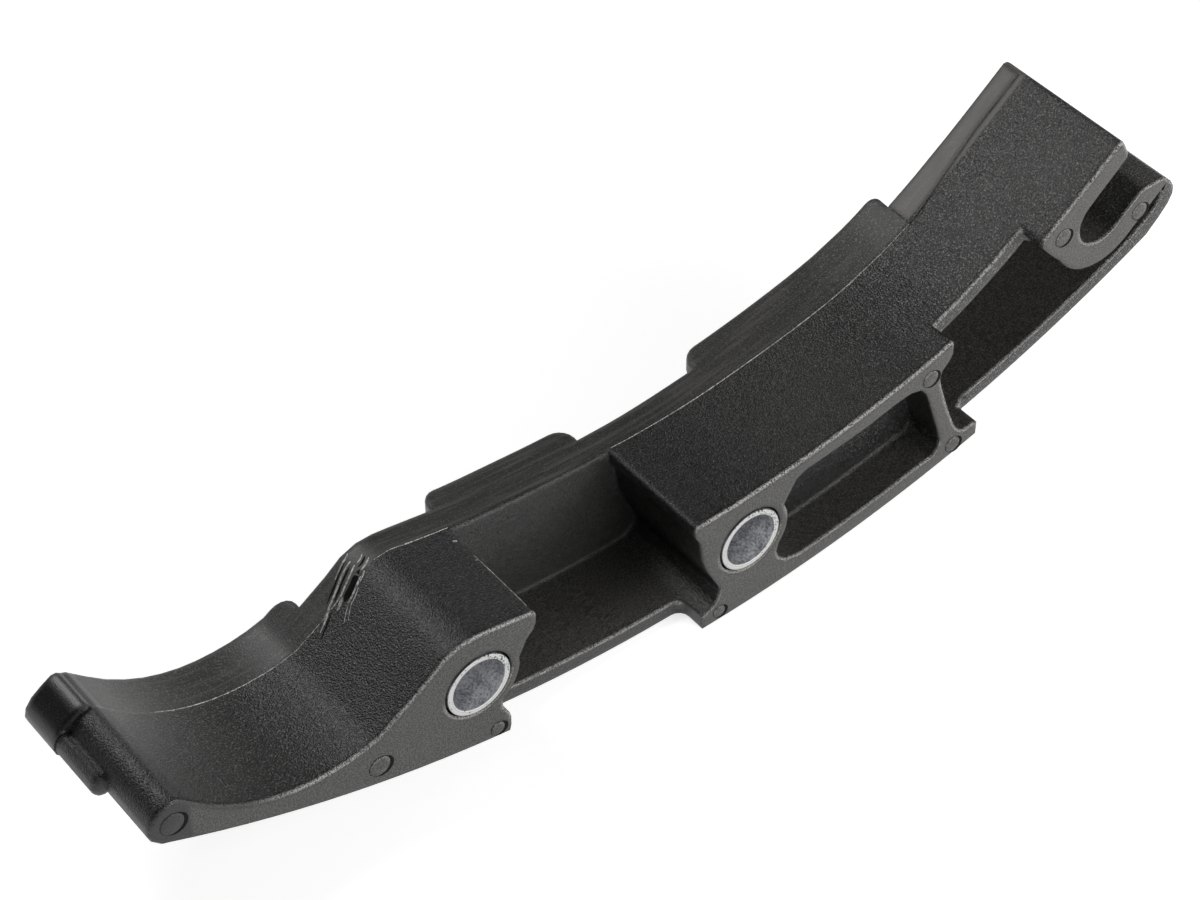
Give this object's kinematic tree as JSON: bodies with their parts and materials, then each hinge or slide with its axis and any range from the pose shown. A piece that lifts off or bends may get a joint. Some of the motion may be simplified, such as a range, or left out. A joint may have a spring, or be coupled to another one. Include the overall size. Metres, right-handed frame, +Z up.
{
  "type": "timing chain guide",
  "caption": "Curved moulded timing chain guide rail with a plain convex sliding face, ribbed blocks, pressed-in steel sleeves for shoulder bolts and an open pin slot at one end.",
  "frame": {"origin": "middle of the footprint on the surface that the guide rests on, under its convex sliding face", "axes": "+X along the guide from the end bar to the open slot, +Y from the front face to the back along the sleeves, +Z up, away from the sliding face"},
  "size_m": [0.1788, 0.0266, 0.0491],
  "materials": {
    "guide_rail": "spark-eroded matte black",
    "left_sleeve": "zinc-plated, turned",
    "middle_sleeve": "zinc-plated, turned"
  },
  "bodies": {
    "root": {"guide_rail": "guide_rail", "left_sleeve": "left_sleeve", "middle_sleeve": "middle_sleeve"}
  },
  "joints": []
}
